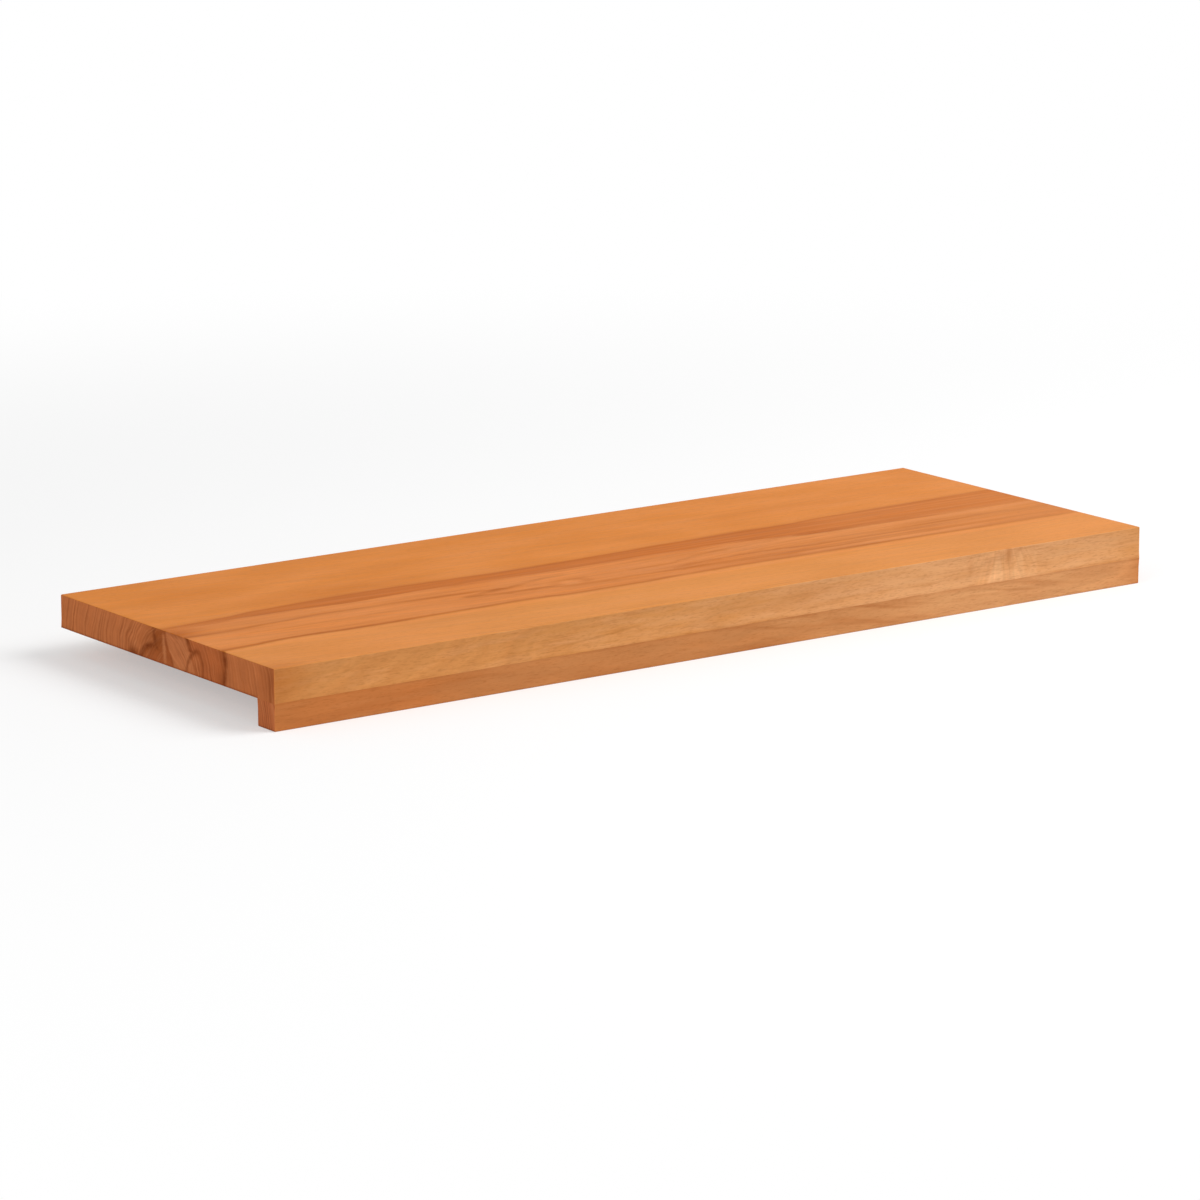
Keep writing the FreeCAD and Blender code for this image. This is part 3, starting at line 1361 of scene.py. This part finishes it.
        wood = bench.mix(inside * front.rise(1.0, -1.0), HUE.end_sap, HUE.end_salmon)
        wood = wood.toward(HUE.end_heart, front.rise(*self.front_brown) * self.front_brown_share)
        behind = gable.rise(*self.behind)
        seeping = rim.rise(*self.seep) * behind * v.rise(*self.seep_v)
        wood = wood.toward(HUE.end_heart, seeping * self.seep_share)
        core = inside * behind
        darkened = rim.rise(*self.core) * self.core_rim + self.core_share
        wood = wood.toward(HUE.end_heart, core * darkened)
        between = gable.rise(*self.between_gable) * middle.rise(*self.between_middle)
        between = between * stock.x.rise(*self.between_x)
        wood = wood.toward(HUE.end_pale, between * self.between_share)
        lean = behind * (self.slant_behind - self.slant_before) + self.slant_before
        slanting = bench.joined(stock.u + v * lean, v, stock.x)
        hatch = bench.cloud(slanting, self.hatch_size, 2, seed=11)
        wood = self.hatching.over(wood, hatch, core + between)
        wood = wood.toward(HUE.end_pale, self.split.share(stock, steady))
        lobe = figure.lobe_shell(stock).rise(*self.lobe_edge)
        wood = wood.toward(HUE.end_sap, lobe * self.lobe_share)
        inset, width, share = self.front_line
        wood = wood.toward(HUE.end_heart, (front + inset).ridge(width) * share)
        blots = bench.cloud(stock.point, self.blot_size, 3, seed=12)
        line = (rim + blots * self.rim_wave - 1.0).ridge(blots * self.rim_swell + self.rim_width)
        strength = blots * self.rim_uneven + self.heart_eggs[0].strength
        wood = wood.toward(HUE.end_line, line * strength)
        mottle = bench.cloud(stock.point, self.mottle_size, 2, seed=8)
        return wood.shaded(mottle * self.mottle_light + self.light)

    def draw_pale(self, wood: Paint, stock: Stock, grain: Grain) -> Paint:
        """Draws the pale half of the rings and of the saw's lines on the ends."""
        pale = grain.early * self.early + grain.weave.rise(0.0, self.weave_span) * self.weave
        return wood.toward(HUE.end_pale, pale * stock.on_end)

    def draw_dark(self, wood: Paint, stock: Stock, grain: Grain) -> Paint:
        """Draws the dark half of the rings and of the saw's lines, and shades the foot.

        Args:
            wood: The wood's colour so far.
            stock: The board's coordinates.
            grain: What the tree's growth left.

        Returns:
            The wood with dark rings on its ends.
        """
        foot = stock.v.rise(*self.foot) * (1.0 - stock.over_land) * self.foot_share
        sawn = grain.weave.rise(0.0, -self.weave_span) * self.weave
        return wood.toward(HUE.end_line, (grain.late * self.late + sawn + foot) * stock.on_end)


@dataclass(frozen=True)
class PlankWood:
    """Oiled beech with a red heart.

    Attributes:
        growth: How the tree grew round the plank.
        figure: Its lines and stains.
        sides: Its colours along the grain.
        front: Its front and back faces.
        ends: Its sawn ends.
        oiled: What plane, wear and oil leave.
        sway_size, sway: Size and reach of the figure's swaying.
        front_cover: How far the front's colours cover those along the grain.
    """

    growth: Growth = Growth(
        across=((0, 147), (120, 160), (300, 176), (800, 180)),
        deep=((0, 31.5), (235, 30), (330, 28), (800, 27)),
        ring_width=4.2,
        wander=2.2,
        seed=2.0,
    )
    figure: PlankFigure = PlankFigure()
    sides: PlankSides = PlankSides()
    front: PlankFront = PlankFront()
    ends: PlankEnds = PlankEnds()
    oiled: OiledFace = OiledFace(
        HUE.fleck_brown, HUE.dark_line, flecks=0.05, side_flecks=0.1, rubbed_and_highlight=0.2
    )
    sway_size: Triple = (70, 30, 20)
    sway: float = 1.5
    front_cover: float = 0.85

    def material(self) -> bpy.types.Material:
        """Makes the plank's material.

        Returns:
            The material.
        """
        bench = Bench("plank_wood")
        stock = Stock(bench, PLANK)
        grain = Grain(stock, self.growth)
        sway = bench.cloud(stock.point, self.sway_size, 3, seed=1) * self.sway
        back = self.figure.back_border.ahead(stock, sway)
        front = self.figure.front_border.ahead(stock, sway * self.figure.steady)

        wood = self.sides.paint(stock, grain, back, front)
        wood = wood.toward(self.front.paint(stock, grain), stock.on_side * self.front_cover)
        wood = wood.toward(self.ends.paint(stock, self.figure, front, sway), stock.on_end)
        wood = self.ends.draw_pale(wood, stock, grain)
        wood = self.figure.draw(wood, stock, sway)
        wood = self.ends.draw_dark(wood, stock, grain)
        return self.oiled.material(wood, stock, grain)


@dataclass(frozen=True)
class NosingWood:
    """Oiled beech from a redder board, with soft, straight grain.

    Attributes:
        red, pale, tan: The wood at the left, at the right and in the middle.
        ring_brown, end_red, end_line: Late wood, and the sawn ends and their lines.
        growth: How the tree grew round the strip.
        paleness: x and how far the wood has turned from red to pale.
        mottle_size, mottle: Size of the mottling, and how far it changes that.
        tan_strength: x and how much of the tan shows.
        dusk: Soft brown patches on the front.
        sweep: How far the grain falls for each millimetre to the right.
        sweep_size, swept: Size and colours of the streaks that fall so.
        sweep_strength: x and how plainly they show.
        shade_v, shade_x, shade: Where a shade under the joint starts and is full, and its strength.
        rings, dashes: How dark late wood and dashes are.
        end_rings, end_weave: How dark the rings and the saw's lines are on the ends.
        end_pale: How pale the saw's lines are.
        weave_dark, weave_pale: How low and how high such lines show in full.
        foot, foot_share: v where a shade along the underside starts and is full, and its strength.
        oiled: What plane, wear and oil leave.
    """

    red: Triple = srgb(197, 121, 65)
    pale: Triple = srgb(219, 161, 108)
    tan: Triple = srgb(186, 134, 82)
    ring_brown: Triple = srgb(164, 88, 36)
    end_red: Triple = srgb(190, 107, 62)
    end_line: Triple = srgb(126, 58, 20)
    growth: Growth = Growth(
        across=((0, 150), (450, 150), (800, 157)),
        deep=((0, 62), (800, 62)),
        ring_width=2.6,
        wander=2.0,
        seed=12.0,
    )
    paleness: Points = (
        (0, 0.0), (150, 0.06), (250, 0.2), (400, 0.23), (540, 0.48), (690, 0.9), (800, 0.15),
    )
    mottle_size: Triple = (80, 30, 8)
    mottle: float = 0.12
    tan_strength: Points = ((130, 0), (300, 0.24), (480, 0.24), (640, 0), (800, 0))
    dusk: tuple[Stain, ...] = (
        Stain((503, 290, 33), (26, 30, 5), 0.2),
        Stain((160, 290, 29), (60, 30, 9), 0.15),
        Stain((750, 290, 30), (70, 30, 9), 0.2),
    )
    sweep: float = 0.13
    sweep_size: Triple = (75, 60, 4.2)
    swept: Streaks = Streaks(ring_brown, 0.4, pale, 0.25, (-0.2, 1.4), (0.0, -1.4))
    sweep_strength: Points = ((380, 0), (450, 1), (680, 1), (740, 0.6), (800, 0.4))
    shade_v: Span = (29.0, 20.0)
    shade_x: Span = (430, 620)
    shade: float = 0.16
    rings: float = 0.15
    dashes: float = 0.12
    end_rings: float = 0.6
    end_weave: float = 0.6
    end_pale: float = 0.25
    weave_dark: float = -1.0
    weave_pale: float = 1.2
    foot: Span = (42.8, 45.0)
    foot_share: float = 0.45
    oiled: OiledFace = OiledFace(
        srgb(156, 86, 36), srgb(150, 78, 28), flecks=0.1, side_flecks=0.0, rubbed_and_highlight=0.1
    )

    def material(self) -> bpy.types.Material:
        """Makes the strip's material.

        Returns:
            The material.
        """
        bench = Bench("nosing_wood")
        stock = Stock(bench, NOSING)
        grain = Grain(stock, self.growth)
        x, v = stock.x, stock.v

        mottle = bench.cloud(stock.point, self.mottle_size, 3, seed=13) * self.mottle
        wood = bench.mix(x.along(self.paleness) + mottle, self.red, self.pale)
        wood = wood.toward(self.tan, x.along(self.tan_strength))
        for stain in self.dusk:
            wood = wood.toward(self.ring_brown, stain.share(stock))
        falling = bench.joined(x, stock.u, v - x * self.sweep)
        swept = bench.cloud(falling, self.sweep_size, 2, seed=14) * x.along(self.sweep_strength)
        wood = self.swept.over(wood, swept)
        shade = v.rise(*self.shade_v) * x.rise(*self.shade_x)
        wood = wood.toward(self.ring_brown, shade * self.shade)
        wood = wood.toward(self.ring_brown, grain.late * self.rings)
        wood = wood.toward(self.oiled.fleck_brown, grain.dash * self.dashes)

        sawn = grain.weave.rise(0.0, self.weave_dark) * self.end_weave
        foot = v.rise(*self.foot) * self.foot_share
        end = bench.mix(grain.late * self.end_rings + sawn + foot, self.end_red, self.end_line)
        end = end.toward(self.pale, grain.weave.rise(0.0, self.weave_pale) * self.end_pale)
        return self.oiled.material(wood.toward(end, stock.on_end), stock, grain)


class Side(Enum):
    """A side of a board: the axis that it faces along, and which way."""

    LEFT = (0, -1)
    RIGHT = (0, 1)
    FRONT = (1, -1)
    BACK = (1, 1)
    UNDER = (2, -1)
    TOP = (2, 1)


@dataclass
class Board:
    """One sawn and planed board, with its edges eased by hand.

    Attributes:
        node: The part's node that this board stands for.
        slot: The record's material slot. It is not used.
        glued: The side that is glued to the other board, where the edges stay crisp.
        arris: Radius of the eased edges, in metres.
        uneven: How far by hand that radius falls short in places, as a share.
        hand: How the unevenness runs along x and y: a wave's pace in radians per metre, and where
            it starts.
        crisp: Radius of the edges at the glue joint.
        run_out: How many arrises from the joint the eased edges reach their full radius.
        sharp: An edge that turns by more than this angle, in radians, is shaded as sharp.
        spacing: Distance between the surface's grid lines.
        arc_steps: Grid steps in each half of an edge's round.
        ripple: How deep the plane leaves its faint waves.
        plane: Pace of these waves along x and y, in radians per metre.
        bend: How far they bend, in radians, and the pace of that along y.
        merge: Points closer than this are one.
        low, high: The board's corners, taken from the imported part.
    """

    node: str
    slot: str
    glued: Side
    arris: float = 1.0 * MM
    uneven: float = 0.12
    hand: tuple[Span, Span] = ((37.0, 11.0), (61.0, 5.0))
    crisp: float = 0.05 * MM
    run_out: float = 4.0
    sharp: float = math.radians(50)
    spacing: float = 6.0 * MM
    arc_steps: int = 4
    ripple: float = 0.03 * MM
    plane: Span = (23.0, 29.0)
    bend: Span = (3.0, 17.0)
    merge: float = 0.001 * MM
    low: np.ndarray = field(init=False)
    high: np.ndarray = field(init=False)

    def __post_init__(self) -> None:
        """Takes the board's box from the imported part."""
        self.low, self.high = (np.array(corner, float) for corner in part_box(self.node))

    def stations(self, axis: int) -> np.ndarray:
        """Grid lines along one axis, counted from the board's middle.

        They are even over the flat, and on each edge's round they lie at the tangents of even
        angles up to 45 degrees, so that the round comes out in even steps.

        Args:
            axis: 0, 1 or 2.

        Returns:
            The lines' coordinates, rising.
        """
        half = (self.high - self.low)[axis] / 2
        flat = half - self.arris
        count = max(2, math.ceil(2 * flat / self.spacing))
        even = np.linspace(-flat, flat, count + 1)
        angles = np.linspace(0, math.pi / 4, self.arc_steps + 1)[1:]
        outer = flat + self.arris * np.tan(angles)
        return np.concatenate([-outer[::-1], even, outer])

    def radius_at(self, square: np.ndarray) -> np.ndarray:
        """Edge radius at each point: the arris, a little uneven, but crisp beside the glue joint.

        By hand, the radius is the arris times 1 - a + a sin(p x + q) cos(r y + s), with a small
        share a. Towards the joint it goes to the crisp radius along a smooth step.

        Args:
            square: Points on the square box, from its middle, one row each.

        Returns:
            One radius for each point.
        """
        axis, way = self.glued.value
        half = (self.high - self.low) / 2
        from_joint = half[axis] - way * square[:, axis]
        away = np.clip(from_joint / (self.run_out * self.arris), 0, 1)
        (pace_x, start_x), (pace_y, start_y) = self.hand
        waves = np.sin(pace_x * square[:, 0] + start_x) * np.cos(pace_y * square[:, 1] + start_y)
        by_hand = self.arris * (1 - self.uneven + self.uneven * waves)
        return self.crisp + (by_hand - self.crisp) * away * away * (3 - 2 * away)

    def surface(self) -> tuple[np.ndarray, np.ndarray]:
        """Works out the board's whole surface.

        Each side is a grid of two parameters on the square box. A point q of the box is drawn to
        the nearest point c of an inner box, smaller by the edge radius r all round, and set at
        c + r (q - c) / |q - c|: flats stay flat, edges become quarter rounds, corners become
        eighths of a ball. Faint waves of the plane, sin(a x + b sin(c y)) cos(d y), then sink each
        point along its normal.

        Returns:
            The points, in the part's frame, and the four-cornered faces.
        """
        half = (self.high - self.low) / 2
        grids, faces, count = [], [], 0
        for side in Side:
            axis, way = side.value
            first, second = [other for other in range(3) if other != axis]
            along, across = np.meshgrid(self.stations(first), self.stations(second), indexing="ij")
            grid = np.empty((*along.shape, 3))
            grid[..., first], grid[..., second], grid[..., axis] = along, across, way * half[axis]
            number = count + np.arange(along.size).reshape(along.shape)
            quad = np.stack(
                [number[:-1, :-1], number[1:, :-1], number[1:, 1:], number[:-1, 1:]], axis=-1
            ).reshape(-1, 4)
            outward = way if axis != 1 else -way
            grids.append(grid.reshape(-1, 3))
            faces.append(quad if outward > 0 else quad[:, ::-1])
            count += along.size
        square = np.concatenate(grids)
        radius = self.radius_at(square)[:, None]
        inner = np.clip(square, radius - half, half - radius)
        lean = square - inner
        normal = lean / np.linalg.norm(lean, axis=1, keepdims=True)
        pace_x, pace_y = self.plane
        bent, bend_pace = self.bend
        x, y = square[:, 0], square[:, 1]
        wave = np.sin(pace_x * x + bent * np.sin(bend_pace * y)) * np.cos(pace_y * y)
        sink = self.ripple * (0.5 + 0.5 * wave)[:, None]
        points = inner + normal * (radius - sink) + (self.low + self.high) / 2

        keys = np.round(square / self.merge).astype(np.int64)
        _, kept, place = np.unique(keys, axis=0, return_index=True, return_inverse=True)
        return points[kept], place.reshape(-1)[np.concatenate(faces)]

    def build(self, material: bpy.types.Material) -> bpy.types.Object:
        """Makes the board's mesh, dresses it and sets it in the place of its node.

        Args:
            material: The board's wood.

        Returns:
            The new piece.
        """
        points, faces = self.surface()
        mesh = bpy.data.meshes.new(f"{self.node}_wood")
        mesh.from_pydata(points.tolist(), [], faces.tolist())
        mesh.polygons.foreach_set("use_smooth", np.ones(len(faces), bool))
        mesh.set_sharp_from_angle(angle=self.sharp)
        mesh.materials.append(material)
        mesh.update()
        piece = bpy.data.objects.new(f"{self.node}_wood", mesh)
        bpy.context.scene.collection.objects.link(piece)
        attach(piece, BODY)
        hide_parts(self.node)
        log.info("%s: %d points, %d faces", piece.name, len(points), len(faces))
        return piece


@dataclass
class Tread:
    """The whole tread: the plank and the nosing glued under its front edge.

    Attributes:
        plank: The board that is stepped on.
        nosing: The strip under its front edge.
    """

    plank: Board = field(default_factory=lambda: Board(PLANK, "plank_wood", Side.UNDER))
    nosing: Board = field(default_factory=lambda: Board(NOSING, "nosing_wood", Side.TOP))

    def build(self) -> None:
        """Builds and dresses both boards."""
        self.plank.build(PlankWood().material())
        self.nosing.build(NosingWood().material())


@dataclass(frozen=True)
class Softbox:
    """A square, evenly lit lamp that points at the tread.

    Attributes:
        name: The lamp's name.
        place: Where it hangs, in metres.
        side: Length of its sides, in metres.
        watts: Its power.
    """

    name: str
    place: Triple
    side: float
    watts: float

    def build(self, aim: Vector) -> None:
        """Hangs the lamp.

        Args:
            aim: The point that it faces.
        """
        lamp = bpy.data.lights.new(self.name, "AREA")
        lamp.shape = "SQUARE"
        lamp.size = self.side
        lamp.energy = self.watts
        holder = bpy.data.objects.new(self.name, lamp)
        holder.location = self.place
        holder.rotation_euler = (aim - Vector(self.place)).to_track_quat("-Z", "Y").to_euler()
        bpy.context.scene.collection.objects.link(holder)
        log.info("%s: %.0f W", self.name, self.watts)


@dataclass(frozen=True)
class Studio:
    """Pale floor, soft light and the camera.

    Attributes:
        floor_side: Length of the floor's sides, in metres.
        floor_grey: How much light the floor throws back at the tread.
        floor_shown: How pale the camera sees it.
        shadow_share: How much of the light and shade on it the camera sees near the tread.
        fade: Distance from the tread where that starts to fade, and where only white is left.
        sky: Strength of the light from all round.
        lamps: The lamps.
        azimuth, elevation: The camera's angles, in degrees.
        distance: How far it stands from the tread's middle, in metres.
        aim_offset: How far to the right of the middle and above it the camera looks, in metres.
        lens, sensor: Its focal length and its picture's width, in millimetres.
        clip_end: How far it sees, in metres.
    """

    floor_side: float = 40.0
    floor_grey: float = 0.80
    floor_shown: float = 0.97
    shadow_share: float = 0.6
    fade: Span = (0.5, 1.6)
    sky: float = 0.45
    lamps: tuple[Softbox, ...] = (
        Softbox("key_lamp", (1.9, -1.5, 2.6), 2.4, 98.0),
        Softbox("fill_lamp", (-2.6, -0.7, 1.1), 1.8, 19.0),
    )
    azimuth: float = -36.34
    elevation: float = 12.71
    distance: float = 3.94
    aim_offset: Span = (-0.0122, -0.0087)
    lens: float = 156.0
    sensor: float = 36.0
    clip_end: float = 200.0

    def build(self) -> None:
        """Sets up the floor, the sky, the lamps and the camera."""
        middle = (CAD_BOX[0] + CAD_BOX[1]) / 2
        self.lay_floor()
        self.open_sky()
        for lamp in self.lamps:
            lamp.build(middle)
        self.set_camera(middle)
        settings = bpy.context.scene.view_settings
        settings.view_transform = "Standard"

    @staticmethod
    def seen(tree: bpy.types.NodeTree) -> bpy.types.NodeSocket:
        """Tells what the camera sees, straight or in a reflection or through glass.

        Args:
            tree: The nodes that the answer is added to.

        Returns:
            1 for what the camera sees, else 0.
        """
        path = tree.nodes.new("ShaderNodeLightPath")
        total = path.outputs["Is Camera Ray"]
        for name in ("Is Glossy Ray", "Is Transmission Ray"):
            either = tree.nodes.new("ShaderNodeMath")
            either.operation = "MAXIMUM"
            tree.links.new(total, either.inputs[0])
            tree.links.new(path.outputs[name], either.inputs[1])
            total = either.outputs["Value"]
        return total

    def floor_material(self) -> bpy.types.Material:
        """Makes the floor's material.

        It looks nearly white. Near the tread part of its look is the light on it, so the tread's
        shadow shows softly, and further out it turns to plain white. Its underside is clear.

        Returns:
            The material.
        """
        bench = Bench("pale_floor")
        lit = bench.add("BsdfDiffuse")
        lit.inputs["Color"].default_value = (*[self.floor_grey] * 3, 1.0)
        shown = bench.add("BsdfDiffuse")
        shown.inputs["Color"].default_value = (*[self.floor_shown] * 3, 1.0)
        glow = bench.add("Emission")
        length = bench.add("VectorMath", operation="LENGTH")
        bench.feed(length.inputs[0], bench.add("TexCoord").outputs["Object"])
        near = Signal(bench, length.outputs["Value"]).rise(self.fade[1], self.fade[0])
        veiled = bench.add("MixShader")
        by_ray = bench.add("MixShader")
        clear = bench.add("MixShader")
        output = bench.add("OutputMaterial")
        for source, target in (
            (near * self.shadow_share, veiled.inputs["Fac"]),
            (glow.outputs[0], veiled.inputs[1]),
            (shown.outputs[0], veiled.inputs[2]),
            (self.seen(bench.tree), by_ray.inputs["Fac"]),
            (lit.outputs[0], by_ray.inputs[1]),
            (veiled.outputs[0], by_ray.inputs[2]),
            (bench.add("NewGeometry").outputs["Backfacing"], clear.inputs["Fac"]),
            (by_ray.outputs[0], clear.inputs[1]),
            (bench.add("BsdfTransparent").outputs[0], clear.inputs[2]),
            (clear.outputs[0], output.inputs["Surface"]),
        ):
            bench.feed(target, source)
        return bench.material

    def lay_floor(self) -> None:
        """Lays the floor level with the tread's lowest point."""
        half = self.floor_side / 2
        corners = [(-half, -half, 0), (half, -half, 0), (half, half, 0), (-half, half, 0)]
        mesh = bpy.data.meshes.new("floor")
        mesh.from_pydata(corners, [], [(0, 1, 2, 3)])
        mesh.materials.append(self.floor_material())
        floor = bpy.data.objects.new("floor", mesh)
        floor.location.z = float(CAD_BOX[0].z)
        bpy.context.scene.collection.objects.link(floor)
        log.info("floor: %.0f m square", self.floor_side)

    def open_sky(self) -> None:
        """Surrounds everything with soft light, and with white where the camera looks past."""
        world = bpy.data.worlds.new("studio")
        world.use_nodes = True
        tree = world.node_tree
        tree.nodes.clear()
        soft, white = (tree.nodes.new("ShaderNodeBackground") for _ in range(2))
        for background, strength in ((soft, self.sky), (white, 1.0)):
            background.inputs["Color"].default_value = (1.0, 1.0, 1.0, 1.0)
            background.inputs["Strength"].default_value = strength
        mix = tree.nodes.new("ShaderNodeMixShader")
        output = tree.nodes.new("ShaderNodeOutputWorld")
        tree.links.new(self.seen(tree), mix.inputs["Fac"])
        tree.links.new(soft.outputs[0], mix.inputs[1])
        tree.links.new(white.outputs[0], mix.inputs[2])
        tree.links.new(mix.outputs[0], output.inputs["Surface"])
        bpy.context.scene.world = world

    def set_camera(self, middle: Vector) -> None:
        """Sets the camera at the photograph's viewing angle.

        Args:
            middle: The middle of the tread.
        """
        turn, tilt = math.radians(self.azimuth), math.radians(self.elevation)
        level = Vector((math.sin(turn), -math.cos(turn), 0.0)) * math.cos(tilt)
        back = level + Vector((0.0, 0.0, math.sin(tilt)))
        right = Vector((math.cos(turn), math.sin(turn), 0.0))
        aim = middle + self.aim_offset[0] * right + self.aim_offset[1] * back.cross(right)
        lens = bpy.data.cameras.new("camera")
        lens.lens = self.lens
        lens.sensor_width = self.sensor
        lens.clip_end = self.clip_end
        camera = bpy.data.objects.new("camera", lens)
        camera.location = middle + back * self.distance
        camera.rotation_euler = (aim - camera.location).to_track_quat("-Z", "Y").to_euler()
        bpy.context.scene.collection.objects.link(camera)
        bpy.context.scene.camera = camera


def main() -> None:
    """Builds the tread and the studio around it."""
    logging.basicConfig(level=logging.INFO, format="%(name)s: %(message)s")
    Tread().build()
    Studio().build()


if __name__ == "__main__":
    main()
